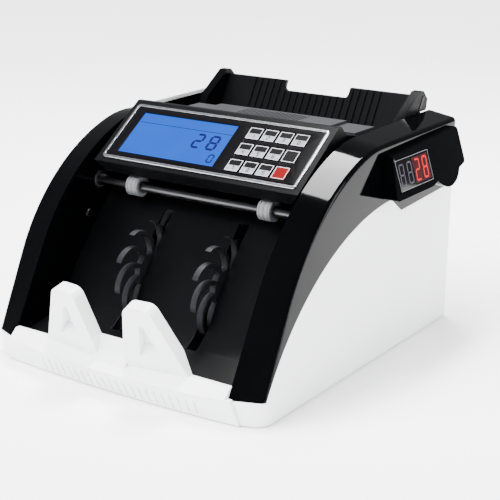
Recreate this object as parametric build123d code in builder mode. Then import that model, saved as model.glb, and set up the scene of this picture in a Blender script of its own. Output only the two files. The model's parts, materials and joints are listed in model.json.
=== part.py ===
"""Desktop banknote counting machine, modelled piece by piece in millimetres.

X runs across the machine, +Y goes from the front to the rear, +Z is up. The origin is under the middle of
the five feet, on the table. Most outlines are drawn from the side as (depth, height), with depth counted from
the front bottom edge of the case and height from the table.
"""

from build123d import *
from math import acos, atan2, cos, degrees, hypot, radians, sin, sqrt, tan
import os

os.makedirs("parts", exist_ok=True)

# ------------------------------------------------------------------ overall size
body_width = 242.6
body_depth = 282.0
table_gap = 1.0
wall = 2.5
seam = 0.25
touch = 0.3

# ------------------------------------------------------------------ flanks (side covers and arch trims)
arch_width = 23.5
arc_depth = 185.3
arc_height = 4.5
arc_radius_inner = 168.2
arc_radius_outer = 164.3
arc_end = 107.0
crown_radius = 88.8
roof_angle = 1.0
foot_depth_inner = 2.0
foot_depth_outer = 11.0
sill_height = 18.5
flank_fillet = 3.5
corner_radius = 12.0
sill_depth_inner = -0.5
sill_depth_outer = 9.0
toe_depth_inner = 3.2
toe_depth_outer = 10.0

# line where the black trim meets the white cover
split_arc_depth = 187.4
split_arc_height = -75.4
split_arc_radius = 198.0
split_peak_depth = 178.6
split_notch = (195.0, 110.6)
split_rear_height = 115.6
split_corner_radius = 4.0

# recess pressed into the lower rear of each side cover
recess_start_depth = 150.0
recess_start_height = 57.0
recess_crease_height = 82.8
recess_foot_height = 61.0
recess_sink = 4.2

# ------------------------------------------------------------------ front panel and stacker fingers
panel_half_width_toe = 105.8
panel_half_width_crest = 101.6
crest_height = 20.0
crest_depth_centre = -12.0
crest_depth_end = -2.5
toe_depth_centre = -1.2
toe_depth_end = 3.4
brow_height = 26.5
brow_depth = 4.5
panel_back_depth = 8.0
web_height = 40.0
finger_spacing = 65.0
finger_thickness = 10.0
finger_height = 51.9
finger_sweep = 0.096
finger_lean = 0.31
finger_foot_depth = 0.98
finger_foot_height = 24.0
finger_top_radius = 7.0
pocket_sink = 6.0
groove_count = 22
groove_pitch = 6.5
groove_width = 1.3
groove_sink = 0.8

# ------------------------------------------------------------------ control head
head_gap = 4.8
panel_bottom = (95.6, 141.8)
panel_slope = 35.45
bezel_border = 4.4
bezel_length = 58.0
bezel_line = 2.4
bezel_height = 1.2
overlay_thickness = 0.6
lcd_size = (89.9, 42.5)
lcd_margin_left = 11.4
lcd_margin_bottom = 7.5
lcd_thickness = 4.0
key_size = (11.7, 11.6)
key_pitch = (13.4, 16.3)
key_clearance = 0.15
key_margin_right = 12.6
key_margin_top = 7.7
key_proud = 0.5
key_depth = 4.0
key_travel = 0.6
chin_height = 130.0
head_rear_depth = 186.0

# ------------------------------------------------------------------ hopper
deck_height = 166.4
deck_half_width = 84.0
deck_rear_depth = 216.5
deck_lid_half_width = 60.0
deck_lid_rise = 2.2
deck_foot_height = 133.6
deck_groove_count = 18
deck_groove_pitch = 3.3
hopper_lean = 60.0
back_top = (270.0, 183.6)
back_thickness = 3.0
back_foot_height = 128.5
back_groove_pitch = 6.4
back_groove_width = 1.8
back_groove_sink = 1.2
back_notch_half_width = 31.0
back_notch_sink = 8.0
guide_thickness = 7.6
guide_gap = 0.4
guide_travel = 20.0
tray_front = (193.0, 119.5)
tray_thickness = 2.0

# ------------------------------------------------------------------ note transport
shaft_radius = 4.0
shaft_end = 115.5
shaft_clearance = 0.05
bush_radius = 7.0
bush_length = 6.0
feed_axis = (168.0, 102.0)
feed_radius = 24.0
feed_width = 16.0
feed_spacing = 56.0
pickup_axis = (214.0, 109.5)
pickup_radius = 15.0
pickup_width = 12.0
pickup_spacing = 60.0
exit_axis = (105.0, 120.6)
exit_radius = 8.0
exit_width = 11.0
exit_spacing = 122.0
comb_pitch = 4.2
stacker_axis = (85.0, 62.0)
stacker_radius = 38.0
stacker_hub_radius = 14.0
stacker_width = 5.0
stacker_spacing = 70.0
stacker_fins = 10
stacker_slot_gap = 2.0

# ------------------------------------------------------------------ drive
belt_thickness = 1.6
belt_width = 4.0
belt_gap = 0.35
feed_pulley_radius = 20.0
pickup_pulley_radius = 12.0
exit_pulley_radius = 8.0
stacker_pulley_radius = 18.0
motor_pulley_radius = 8.0
main_motor_axis = (205.0, 48.0)
main_motor_radius = 22.0
main_motor_length = 62.0
stacker_motor_axis = (140.0, 40.0)
stacker_motor_radius = 16.0
stacker_motor_length = 42.0
motor_shaft_radius = 2.5
belt_lane_inner = 107.0
belt_lane_outer = 112.5

# ------------------------------------------------------------------ frame, base and rear
frame_thickness = 2.0
post_radius = 4.0
base_thickness = 2.5
base_half_width = 113.5
base_front_depth = 8.0
foot_radius = 9.0
foot_inset = 30.0
foot_spread = 180.0
foot_plug_radius = 3.0
rod_radius = 4.0
rear_socket_height = 30.0
inlet_x = -62.0
inlet_size = (27.0, 20.0)
rocker_x = -26.0
rocker_size = (13.0, 19.0)
rocker_hole_margin = 1.0
jack_x = 40.0
jack_radius = 5.0
jack_bore_radius = 1.8
knob_height = 140.0
knob_radius = 9.0
knob_cup_radius = 12.5
knob_cup_depth = 11.0
knob_stem_radius = 3.0

# ------------------------------------------------------------------ display pod on the right flank
pod_front_depth_low = 157.5
pod_front_depth_top = 165.5
pod_front_height = 158.2
pod_rear_depth = 275.7
pod_top_height = 163.0
pod_chin_height = 127.0
pod_face_top = 125.7
pod_face_bottom = 137.3
pod_lobe_height = 122.0
pod_wall = 2.0
pod_window_depths = (166.5, 219.0)
pod_window_heights = (132.2, 154.6)
pod_window_thickness = 1.2

# ------------------------------------------------------------------ values that follow from the sizes above
front_y = -body_depth / 2
body_half = body_width / 2
channel_half = body_half - arch_width
head_half = channel_half - head_gap
bezel_half = head_half - bezel_border
frame_x = channel_half + wall
base_top = table_gap + base_thickness
slope_sin = sin(radians(panel_slope))
slope_cos = cos(radians(panel_slope))
lean_run = 1 / tan(radians(hopper_lean))
guide_x = channel_half - guide_gap - guide_thickness
rear_wall_depth = body_depth - wall
crown_shift = arc_radius_outer - crown_radius
crown_centre = (arc_depth + crown_shift * cos(radians(arc_end)), arc_height + crown_shift * sin(radians(arc_end)))


def side(x):
    """Plane facing +X, drawn in (depth, height)."""
    return Plane(origin=(x, front_y, 0), x_dir=(0, 1, 0), z_dir=(1, 0, 0))


def level(height):
    """Plane facing up, drawn in (x, depth)."""
    return Plane(origin=(0, front_y, height))


def upright(depth):
    """Plane facing the front, drawn in (x, height)."""
    return Plane(origin=(0, front_y + depth, 0), x_dir=(1, 0, 0), z_dir=(0, -1, 0))


def save(piece, label):
    """Label a finished piece and write it under the same name."""
    piece.label = label
    export_step(piece, f"parts/{label}.step")


def save_pair(piece, label):
    """Write a right-hand piece and its mirror image on the left."""
    save(mirror(piece, about=Plane.YZ), f"{label}_left")
    save(piece, f"{label}_right")


def prism(points, x_from, x_to):
    """Solid with a side outline in (depth, height), between two values of x."""
    with BuildPart() as solid:
        with BuildSketch(side(x_from)):
            with BuildLine():
                Polyline(*points, close=True)
            make_face()
        extrude(amount=x_to - x_from)
    return solid.part


def bar_along_x(centre, radius, x_from, x_to, hole=0.0):
    """Round bar or ring across the machine, centred at (depth, height)."""
    with BuildPart() as solid:
        with BuildSketch(side(x_from)):
            with Locations(centre):
                Circle(radius)
                if hole:
                    Circle(hole, mode=Mode.SUBTRACT)
        extrude(amount=x_to - x_from)
    return solid.part


def block(x_range, depth_range, height_range):
    """Rectangular solid between three pairs of limits."""
    with BuildPart() as solid:
        with BuildSketch(level(height_range[0])):
            with Locations(((x_range[0] + x_range[1]) / 2, (depth_range[0] + depth_range[1]) / 2)):
                Rectangle(x_range[1] - x_range[0], depth_range[1] - depth_range[0])
        extrude(amount=height_range[1] - height_range[0])
    return solid.part


# ================================================================== flanks
def between(x, inner, outer):
    """A flank size at x, changing evenly from the channel side to the outside."""
    return inner + (outer - inner) * (x - channel_half) / arch_width


def flank_face(x, inset):
    """Side view of the flank at x: sloping front, round shoulder, nearly flat roof."""
    reach = between(x, arc_radius_inner, arc_radius_outer) - inset
    toe = between(x, foot_depth_inner, foot_depth_outer) + inset
    rear = body_depth - inset
    run = hypot(arc_depth - toe, arc_height - sill_height)
    tangent = degrees(atan2(sill_height - arc_height, toe - arc_depth) - acos(reach / run))
    with BuildSketch(side(x)) as face:
        with BuildLine():
            shoulder = CenterArc((arc_depth, arc_height), reach, tangent, arc_end - tangent)
            crown = CenterArc(crown_centre, reach - crown_shift, arc_end, 90 + roof_angle - arc_end)
            roof_end = (rear, (crown @ 1).Y + (rear - (crown @ 1).X) * tan(radians(roof_angle)))
            Line((toe, sill_height), shoulder @ 0)
            Line(crown @ 1, roof_end)
            Line(roof_end, (rear, sill_height))
            Line((rear, sill_height), (toe, sill_height))
        make_face()
    return face.sketch


def toe_face(x, inset):
    """Side view of the white corner under the sill, which leans forward as it rises."""
    lower = between(x, toe_depth_inner, toe_depth_outer) + inset
    upper = between(x, sill_depth_inner, sill_depth_outer) + inset
    rear = body_depth - inset
    with BuildSketch(side(x)) as face:
        with BuildLine():
            Polyline((lower, table_gap), (upper, sill_height), (rear, sill_height), (rear, table_gap), close=True)
        make_face()
    return face.sketch


def flank_block(inset, x_inner, x_outer, fillet_radius):
    """Upper flank, from the sill to the roof, rounded along its outer front edges."""
    with BuildPart() as upper:
        loft([flank_face(x_inner, inset), flank_face(x_outer, inset)], ruled=True)
        outer_edges = upper.edges().filter_by_position(Axis.X, x_outer - 0.01, x_outer + 0.01)
        front_and_roof = outer_edges.sort_by(Axis.Z)[1:].sort_by(Axis.Y)[:-1]
        fillet(front_and_roof, fillet_radius)
    return upper.part


def toe_block(inset, x_inner, x_outer, fillet_radius):
    """Lower flank, from the table gap to the sill, with a round front corner."""
    with BuildPart() as lower:
        loft([toe_face(x_inner, inset), toe_face(x_outer, inset)], ruled=True)
        outer_edges = lower.edges().filter_by_position(Axis.X, x_outer - 0.01, x_outer + 0.01)
        fillet(outer_edges.sort_by(Axis.Y)[0], fillet_radius)
    return lower.part


def white_side(x_from, x_to, drop):
    """Everything below the line between black trim and white cover, lowered by a seam."""
    start = split_arc_depth - sqrt(split_arc_radius**2 - (sill_height - split_arc_height) ** 2)
    rise = sqrt(split_arc_radius**2 - (split_peak_depth - split_arc_depth) ** 2)
    peak = (split_peak_depth, split_arc_height + rise - drop)
    start_angle = atan2(sill_height - split_arc_height, start - split_arc_depth)
    peak_angle = atan2(rise, split_peak_depth - split_arc_depth)
    halfway = (start_angle + peak_angle) / 2
    middle = (split_arc_depth + split_arc_radius * cos(halfway),
              split_arc_height + split_arc_radius * sin(halfway) - drop)
    behind = body_depth + 10
    with BuildPart() as solid:
        with BuildSketch(side(x_from)) as region:
            with BuildLine():
                front = (start, sill_height - drop)
                ThreePointArc(front, middle, peak)
                notch = (split_notch[0], split_notch[1] - drop)
                Polyline(peak, notch, (behind, split_rear_height - drop), (behind, -1), (-20, -1),
                         (-20, sill_height - drop), front)
            make_face()
            for corner in (peak, notch):
                fillet(region.vertices().sort_by_distance((*corner, 0))[0], split_corner_radius)
        extrude(amount=x_to - x_from)
    return solid.part


def panel_half_width(height):
    """Half width of the front panel at a height: its ends slant inwards as they rise."""
    share = (height - table_gap) / (crest_height - table_gap)
    return panel_half_width_toe + (panel_half_width_crest - panel_half_width_toe) * share


def recess(sink):
    """Wedge taken out of the lower rear of the right cover; it starts from nothing and deepens to the rear."""
    with BuildPart() as wedge:
        sections = []
        for depth, crease, foot, depth_in in (
            (recess_start_depth, recess_start_height, recess_start_height - 1, 0.02),
            (body_depth + 1, recess_crease_height, recess_foot_height, recess_sink),
        ):
            surface = body_half - sink
            with BuildSketch(upright(depth)) as section:
                with BuildLine():
                    Polyline((surface + 1, -1), (surface + 1, crease), (surface, crease), (surface - depth_in, foot),
                             (surface - depth_in, -1), close=True)
                make_face()
            sections.append(section.sketch)
        loft(sections, ruled=True)
    return wedge.part


outer_flank = flank_block(0, channel_half, body_half, flank_fillet)
flank_cavity = flank_block(wall, channel_half + wall, body_half - wall, flank_fillet - wall)
outer_toe = toe_block(0, channel_half, body_half, corner_radius)
toe_cavity = toe_block(wall, channel_half, body_half - wall, corner_radius - wall)
shaft_axes = (feed_axis, pickup_axis, exit_axis, stacker_axis)
head_pin = (172.0, 157.0)

# the inner wall stops behind the note guides, where the motors and boards stand
liner_cutout = [(70.0, -1.0), (70.0, 30.0), (86.0, 60.0), (108.0, 88.0), (240.0, 88.0), (240.0, split_rear_height),
                (body_depth + 1, split_rear_height), (body_depth + 1, -1.0)]

# black trim: inner wall, roof strip and the upper part of the outer wall
with BuildPart() as arch_trim:
    add(outer_flank)
    add(flank_cavity, mode=Mode.SUBTRACT)
    add(white_side(channel_half + wall, body_half + 10, 0), mode=Mode.SUBTRACT)
    add(prism(liner_cutout, channel_half - 1, channel_half + wall), mode=Mode.SUBTRACT)
    for axis in shaft_axes:
        add(bar_along_x(axis, bush_radius + 1, channel_half - 1, channel_half + wall + 1), mode=Mode.SUBTRACT)
    add(bar_along_x(head_pin, rod_radius + touch, channel_half - 1, channel_half + wall + 1), mode=Mode.SUBTRACT)
save_pair(arch_trim.part, "arch_trim")

# white cover: lower part of the outer wall, round front corner and rear flange
cover_front = sill_depth_inner - 5
cover_posts = (((50.0, 25.0), 0.0), ((255.0, 100.0), 0.0), ((255.0, 20.0), recess_sink))
with BuildPart() as cover_hollow:
    add(block((channel_half - 1, body_half - wall), (cover_front, rear_wall_depth), (sill_height, 130)))
    add(block((channel_half - 1, body_half - wall), (foot_depth_outer + 12, rear_wall_depth), (-1, sill_height)))
    add(toe_cavity)
    add(block((channel_half - 1, body_half), (cover_front, foot_depth_outer + 12), (sill_height - wall, sill_height)),
        mode=Mode.SUBTRACT)
    add(recess(wall), mode=Mode.SUBTRACT)
with BuildPart() as side_cover:
    add(outer_flank)
    add(outer_toe)
    add(white_side(channel_half - 1, body_half + 10, seam), mode=Mode.INTERSECT)
    add(recess(0), mode=Mode.SUBTRACT)
    add(cover_hollow.part, mode=Mode.SUBTRACT)
    for spot, sunk in cover_posts:
        add(bar_along_x(spot, post_radius, frame_x + frame_thickness, body_half - wall / 2 - sunk))
    with BuildSketch(upright(cover_front)):
        Polygon((channel_half - 1, -1), (panel_half_width(0) + seam, 0), (panel_half_width(sill_height) + seam,
                sill_height), (channel_half - 1, sill_height), align=None)
    extrude(amount=-60, mode=Mode.SUBTRACT)
save_pair(side_cover.part, "side_cover")


# ================================================================== front panel
def bowed_outline(height, centre_depth, end_depth, half_width, back_depth, inset=0.0):
    """Plan of the front panel at one height: bowed front edge, straight back edge."""
    with BuildSketch(level(height)) as plan:
        with BuildLine():
            left = (-half_width + inset, end_depth + inset)
            right = (half_width - inset, end_depth + inset)
            if centre_depth == end_depth:
                Line(left, right)
            else:
                ThreePointArc(left, (0, centre_depth + inset), right)
            Polyline(right, (right[0], back_depth), (left[0], back_depth), left)
        make_face()
    return plan.sketch


def lower_panel(inset, back_depth):
    """Panel from the table gap up to the crest, leaning forward as it rises."""
    toe = bowed_outline(table_gap, toe_depth_centre, toe_depth_end, panel_half_width_toe, back_depth, inset)
    crest = bowed_outline(crest_height, crest_depth_centre, crest_depth_end, panel_half_width_crest, back_depth,
                          inset)
    return loft([toe, crest], ruled=True)


def finger_plane():
    """Plane of the right finger's front face: it leans forward and is swept back a little."""
    return Plane(origin=(finger_spacing / 2, front_y + finger_foot_depth, finger_foot_height),
                 x_dir=(1, finger_sweep, 0), z_dir=(finger_sweep, -1, -finger_lean))


def finger():
    """One A-shaped stacker finger on the right, with the pocket sunk in its face."""
    with BuildPart() as body:
        with BuildSketch(finger_plane()):
            with BuildLine():
                Polyline((-23.0, -8.0), (-11.2, finger_height), (9.1, finger_height), (36.4, -8.0), close=True)
            outline = make_face()
            fillet(outline.vertices().sort_by(Axis.Y)[-2:], finger_top_radius)
        extrude(amount=-finger_thickness)
        with BuildSketch(finger_plane()) as mouth:
            Polygon((-1.3, 37.5), (-5.3, 12.0), (14.4, 11.8), (2.0, 37.5), align=None)
        with BuildSketch(finger_plane().offset(-pocket_sink)) as floor:
            Polygon((-1.0, 36.5), (-4.2, 18.5), (10.8, 18.5), (1.4, 36.5), align=None)
        loft([mouth.sketch, floor.sketch], ruled=True, mode=Mode.SUBTRACT)
        with BuildSketch(finger_plane()):
            Polygon((-8.4, 2.8), (-9.6, -4.2), (23.0, -4.2), (17.2, 3.2), align=None)
        extrude(amount=-0.5, mode=Mode.SUBTRACT)
    return body.part


with BuildPart() as front_panel:
    add(lower_panel(0, panel_back_depth))
    brow_half = channel_half
    loft([bowed_outline(crest_height, crest_depth_centre, crest_depth_end, brow_half, panel_back_depth),
          bowed_outline(brow_height, brow_depth, brow_depth, brow_half, panel_back_depth)], ruled=True)
    web_half = finger_spacing / 2 - 18
    web_outline = [(panel_back_depth, crest_height), (-6.0, crest_height), (-4.0, 24.5), (0.4, 32.5),
                   (1.6, web_height), (5.6, web_height), (panel_back_depth, 34.0)]
    add(prism(web_outline, -web_half, web_half))
    right_finger = finger()
    add(right_finger)
    add(mirror(right_finger, about=Plane.YZ))
    with BuildPart(mode=Mode.PRIVATE) as panel_hollow:
        add(lower_panel(wall, panel_back_depth + 10))
        add(block((-body_half, body_half), (-20, 20), (crest_height - wall, crest_height + 1)), mode=Mode.SUBTRACT)
        add(block((-panel_half_width_crest + wall, panel_half_width_crest - wall),
                  (toe_depth_end + wall, 20), (-1, table_gap + 1)))
    add(panel_hollow.part, mode=Mode.SUBTRACT)
    with BuildPart(mode=Mode.PRIVATE) as grooves:
        with BuildSketch(upright(20)):
            with Locations((6.0, 8.6)):
                with GridLocations(groove_pitch, 1, groove_count, 1):
                    Rectangle(groove_width, 11.0)
        extrude(amount=40)
        add(lower_panel(groove_sink, 40), mode=Mode.SUBTRACT)
    add(grooves.part, mode=Mode.SUBTRACT)
    add(block((-body_half, body_half), (panel_back_depth, 40), (-1, 60)), mode=Mode.SUBTRACT)
    for ends in ((-body_half, -channel_half), (channel_half, body_half)):
        add(block(ends, (foot_depth_inner - touch, 40), (sill_height - seam, 30)), mode=Mode.SUBTRACT)
save(front_panel.part, "front_panel")


# ================================================================== control head
def panel_plane(rise=0.0):
    """Face of the control panel, drawn in (x, distance up the slope from its lower edge)."""
    return Plane(origin=(0, front_y + panel_bottom[0] - rise * slope_sin, panel_bottom[1] + rise * slope_cos),
                 x_dir=(1, 0, 0), z_dir=(0, -slope_sin, slope_cos))


def on_slope(distance, rise=0.0):
    """(depth, height) of a point a given distance up the panel and above its face."""
    return (panel_bottom[0] + distance * slope_cos - rise * slope_sin,
            panel_bottom[1] + distance * slope_sin + rise * slope_cos)


panel_axis = Axis((0, 0, 0), (0, -slope_sin, slope_cos))
lip = on_slope(-bezel_border)
brow = on_slope(bezel_length + bezel_border)
head_outline = [lip, brow, (brow[0] + 4, brow[1]), (brow[0] + 11, brow[1] - 7),
                (head_rear_depth, deck_height - 1.4), (head_rear_depth, 150.0), (150.0, 147.0),
                (113.0, chin_height), (98.0, chin_height)]
inner_lip = on_slope(1.0 - bezel_border, -wall)
inner_brow = on_slope(bezel_length + bezel_border - 3.0, -wall)
head_cavity = [inner_lip, inner_brow, (brow[0] + 2, brow[1] - wall - 1), (brow[0] + 9, brow[1] - 7 - wall),
               (head_rear_depth - wall, deck_height - 1.4 - wall), (head_rear_depth - wall, 150.0 + wall),
               (149.0, 147.0 + wall), (112.5, chin_height + wall), (99.5, chin_height + wall)]
keys_right = bezel_half - key_margin_right
keys_centre_x = keys_right - key_size[0] / 2 - 1.5 * key_pitch[0]
keys_centre_v = bezel_length - key_margin_top - key_size[1] / 2 - key_pitch[1]
lcd_x = -bezel_half + lcd_margin_left + lcd_size[0] / 2
lcd_v = lcd_margin_bottom + lcd_size[1] / 2
key_field = (key_size[0] + 3 * key_pitch[0] + 3, key_size[1] + 2 * key_pitch[1] + 3)

with BuildPart() as control_housing:
    add(prism(head_outline, -head_half, head_half))
    for flip in (1, -1):
        with BuildSketch(upright(112)):
            Polygon((flip * head_half, chin_height + 9), (flip * (head_half - 9), chin_height - 1),
                    (flip * (head_half + 1), chin_height - 1), align=None)
        extrude(amount=40, mode=Mode.SUBTRACT)
    add(prism(head_cavity, -head_half + wall + 8, head_half - wall - 8), mode=Mode.SUBTRACT)
    with BuildSketch(panel_plane(-wall - 1)):
        with Locations((lcd_x, lcd_v)):
            Rectangle(lcd_size[0] + 4, lcd_size[1] + 3)
        with Locations((keys_centre_x, keys_centre_v)):
            Rectangle(*key_field)
    extrude(amount=wall + 2, mode=Mode.SUBTRACT)
    for flip in (1, -1):
        add(bar_along_x(head_pin, rod_radius, flip * (head_half - 6), flip * (head_half + 1)), mode=Mode.SUBTRACT)
save(control_housing.part, "control_housing")

with BuildPart() as control_bezel:
    with BuildSketch(panel_plane()):
        with Locations((0, bezel_length / 2)):
            RectangleRounded(2 * bezel_half, bezel_length, 3.0)
            RectangleRounded(2 * (bezel_half - bezel_line), bezel_length - 2 * bezel_line, 1.5, mode=Mode.SUBTRACT)
    extrude(amount=bezel_height)
    chamfer(control_bezel.faces().sort_by(panel_axis)[-1].outer_wire().edges(), 0.5)
save(control_bezel.part, "control_bezel")


def key_positions():
    """Centres of the twelve keys on the panel, row by row from the top left."""
    return [(keys_centre_x + (column - 1.5) * key_pitch[0], keys_centre_v + (1 - row) * key_pitch[1])
            for row in range(3) for column in range(4)]


with BuildPart() as keypad_overlay:
    with BuildSketch(panel_plane()):
        with Locations((0, bezel_length / 2)):
            RectangleRounded(2 * (bezel_half - bezel_line), bezel_length - 2 * bezel_line, 1.5)
        with Locations((lcd_x, lcd_v)):
            Rectangle(*lcd_size, mode=Mode.SUBTRACT)
        with Locations(*key_positions()):
            RectangleRounded(key_size[0] + 2 * key_clearance, key_size[1] + 2 * key_clearance, 1.2,
                             mode=Mode.SUBTRACT)
    extrude(amount=overlay_thickness)
save(keypad_overlay.part, "keypad_overlay")

with BuildPart() as lcd_module:
    with BuildSketch(panel_plane(-lcd_thickness)):
        with Locations((lcd_x, lcd_v)):
            Rectangle(lcd_size[0] + 3.4, lcd_size[1] + 2.4)
    extrude(amount=lcd_thickness)
    with BuildSketch(panel_plane(-lcd_thickness - 1.6)):
        with Locations((lcd_x, lcd_v)):
            Rectangle(lcd_size[0] + 8, lcd_size[1] + 4)
    extrude(amount=1.6)
save(lcd_module.part, "lcd_module")

key_names = ("1", "2", "3", "0", "4", "5", "6", "batch", "7", "8", "9", "start")
for key_name, centre in zip(key_names, key_positions()):
    with BuildPart() as key:
        with BuildSketch(panel_plane(overlay_thickness + key_proud - key_depth)):
            with Locations(centre):
                RectangleRounded(*key_size, 1.1)
        extrude(amount=key_depth)
        fillet(key.faces().sort_by(panel_axis)[-1].edges(), 0.3)
    save(key.part, f"key_{key_name}")

switch_top = overlay_thickness + key_proud - key_depth - key_travel - touch
board_drop = switch_top - 2.6
with BuildPart() as switch_board:
    with BuildSketch(panel_plane(board_drop - 1.6)):
        with Locations((keys_centre_x, keys_centre_v)):
            Rectangle(key_field[0] + 8, key_field[1] + 2)
    extrude(amount=1.6)
    with BuildSketch(panel_plane(board_drop)):
        with Locations(*key_positions()):
            Rectangle(6, 6)
    extrude(amount=1.4)
    with BuildSketch(panel_plane(board_drop + 1.4)):
        with Locations(*key_positions()):
            Circle(1.7)
    extrude(amount=1.2)
    with BuildSketch(panel_plane(board_drop)):
        with Locations((keys_centre_x, keys_centre_v)):
            with GridLocations(key_field[0] + 4.6, key_field[1] - 4, 2, 2):
                Circle(1.6)
    extrude(amount=-wall - board_drop)
save(switch_board.part, "switch_board")

# ================================================================== hopper
deck_top_foot = deck_rear_depth - (deck_height - deck_foot_height) * lean_run
sheet_run = wall / sin(radians(hopper_lean))
with BuildPart() as hopper_deck:
    add(prism([(head_rear_depth, deck_height), (deck_rear_depth, deck_height), (deck_top_foot, deck_foot_height),
               (deck_top_foot - sheet_run, deck_foot_height),
               (deck_rear_depth - sheet_run - wall * lean_run, deck_height - wall),
               (head_rear_depth, deck_height - wall)], -deck_half_width, deck_half_width))
    lid_front = head_rear_depth + 2
    lid_rear = deck_rear_depth - 1.5
    add(block((-deck_lid_half_width, deck_lid_half_width), (lid_front, lid_rear),
              (deck_height, deck_height + deck_lid_rise)))
    with BuildSketch(level(deck_height + deck_lid_rise)):
        with Locations((0, (lid_front + lid_rear) / 2)):
            with GridLocations(deck_groove_pitch, 1, deck_groove_count, 1):
                SlotOverall(lid_rear - lid_front - 6, 1.4, rotation=90)
    extrude(amount=-1.0, mode=Mode.SUBTRACT)
save(hopper_deck.part, "hopper_deck")

back_foot_depth = back_top[0] - (back_top[1] - back_foot_height) * lean_run
back_run = back_thickness / sin(radians(hopper_lean))
with BuildPart() as hopper_back_plate:
    add(prism([back_top, (back_top[0] + back_run, back_top[1]), (back_foot_depth + back_run, back_foot_height),
               (back_foot_depth, back_foot_height)], -channel_half, channel_half))
    back_face = Plane(origin=(0, front_y + back_foot_depth, back_foot_height), x_dir=(1, 0, 0),
                      z_dir=(0, -sin(radians(hopper_lean)), cos(radians(hopper_lean))))
    groove_total = int((guide_x - guide_travel) / back_groove_pitch) * 2
    with BuildSketch(back_face):
        with GridLocations(back_groove_pitch, 1, groove_total, 1):
            Rectangle(back_groove_width, 200)
    extrude(amount=-back_groove_sink, mode=Mode.SUBTRACT)
    with BuildSketch(upright(back_top[0] - 20)):
        with Locations((0, back_top[1])):
            RectangleRounded(2 * back_notch_half_width, 2 * back_notch_sink, 4.0)
    extrude(amount=-40, mode=Mode.SUBTRACT)
save(hopper_back_plate.part, "hopper_back_plate")

with BuildPart() as hopper_tray:
    add(prism([tray_front, (back_foot_depth, back_foot_height), (back_foot_depth + back_run, back_foot_height),
               (back_foot_depth + back_run, back_foot_height - tray_thickness),
               (tray_front[0], tray_front[1] - tray_thickness)], -channel_half, channel_half))
    for flip in (1, -1):
        middle = flip * pickup_spacing / 2
        reach = pickup_radius + 2
        half = pickup_width / 2 + 2
        add(block((middle - half, middle + half), (pickup_axis[0] - reach, pickup_axis[0] + reach), (100, 140)),
            mode=Mode.SUBTRACT)
save(hopper_tray.part, "hopper_tray")

with BuildPart() as hopper_guide:
    add(prism([(226.0, 150.0), (237.5, 169.6), (265.0, 188.0), (271.5, 188.0), (279.0, 180.6), (277.0, 172.0),
               (262.0, 172.0), (249.0, 150.0)], guide_x, guide_x + guide_thickness))
    fillet(hopper_guide.edges().filter_by(Axis.X).sort_by(Axis.Z)[-2:], 1.5)
    slot_front = (back_top[0] - touch * 1.2, back_top[1] + touch)
    slot_rear = (back_top[0] + back_run + touch * 1.2, back_top[1] + touch)
    drop = 45.0
    add(prism([slot_front, slot_rear, (slot_rear[0] - drop * lean_run, slot_rear[1] - drop),
               (slot_front[0] - drop * lean_run, slot_front[1] - drop)], guide_x - 1, guide_x + guide_thickness + 1),
        mode=Mode.SUBTRACT)
save_pair(hopper_guide.part, "hopper_guide")

# ================================================================== note transport
feed_gap = 1.0
with BuildPart() as retard_block:
    add(prism([(174.0, 144.0), (174.0, 129.0), (180.0, 126.6), (190.0, 126.6), (190.0, 144.0)], -14.0, 14.0))
    add(bar_along_x(feed_axis, feed_radius + feed_gap, -20, 20), mode=Mode.SUBTRACT)
    add(block((-channel_half, channel_half), (176.0, 184.0), (138.0, 144.0)))
save(retard_block.part, "retard_block")

with BuildPart() as exit_comb:
    add(block((-channel_half, channel_half), (117.0, 122.0), (113.5, 127.0)))
    comb_half = exit_spacing / 2 - exit_width
    with BuildSketch(level(114.0)):
        with Locations((0, 114.0)):
            with GridLocations(comb_pitch, 1, int(2 * comb_half / comb_pitch), 1):
                Rectangle(1.8, 6.0)
    extrude(amount=12.0)
save(exit_comb.part, "exit_comb")

with BuildPart() as sensor_bar:
    add(block((-channel_half, channel_half), (128.0, 142.0), (110.0, 118.0)))
    with BuildSketch(level(118.0)):
        with Locations((0, 135.0)):
            with GridLocations(30, 1, 5, 1):
                RectangleRounded(16, 8, 1.5)
    extrude(amount=0.8)
save(sensor_bar.part, "sensor_bar")


def roller_set(axis, radius, width, spacing, grooves):
    """Two rubber rollers on one shaft, with shallow grooves around each."""
    with BuildPart() as rollers:
        for flip in (1, -1):
            middle = flip * spacing / 2
            add(bar_along_x(axis, radius, middle - width / 2, middle + width / 2, shaft_radius))
            for index in range(grooves):
                place = middle + (index - (grooves - 1) / 2) * width / grooves
                add(bar_along_x(axis, radius + 1, place - 0.4, place + 0.4, radius - 0.6), mode=Mode.SUBTRACT)
    return rollers.part


def drive_shaft(axis, pulleys):
    """Steel shaft across the machine with its pulleys, each given as (radius, lane)."""
    with BuildPart() as shaft:
        add(bar_along_x(axis, shaft_radius, -shaft_end, shaft_end))
        for radius, lane in pulleys:
            add(bar_along_x(axis, radius, lane - belt_width / 2, lane + belt_width / 2))
    return shaft.part


save(drive_shaft(feed_axis, [(feed_pulley_radius, -belt_lane_inner), (feed_pulley_radius, belt_lane_inner),
                             (feed_pulley_radius, belt_lane_outer)]), "feed_shaft")
save(roller_set(feed_axis, feed_radius, feed_width, feed_spacing, 3), "feed_rollers")
save(drive_shaft(pickup_axis, [(pickup_pulley_radius, belt_lane_outer)]), "pickup_shaft")
save(roller_set(pickup_axis, pickup_radius, pickup_width, pickup_spacing, 2), "pickup_rollers")
save(drive_shaft(exit_axis, [(exit_pulley_radius, belt_lane_inner)]), "exit_shaft")
save(roller_set(exit_axis, exit_radius, exit_width, exit_spacing, 3), "exit_rollers")
save(drive_shaft(stacker_axis, [(stacker_pulley_radius, belt_lane_outer)]), "stacker_shaft")

def polar(radius, angle):
    """Point at a radius and an angle in degrees."""
    return (radius * cos(radians(angle)), radius * sin(radians(angle)))


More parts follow.
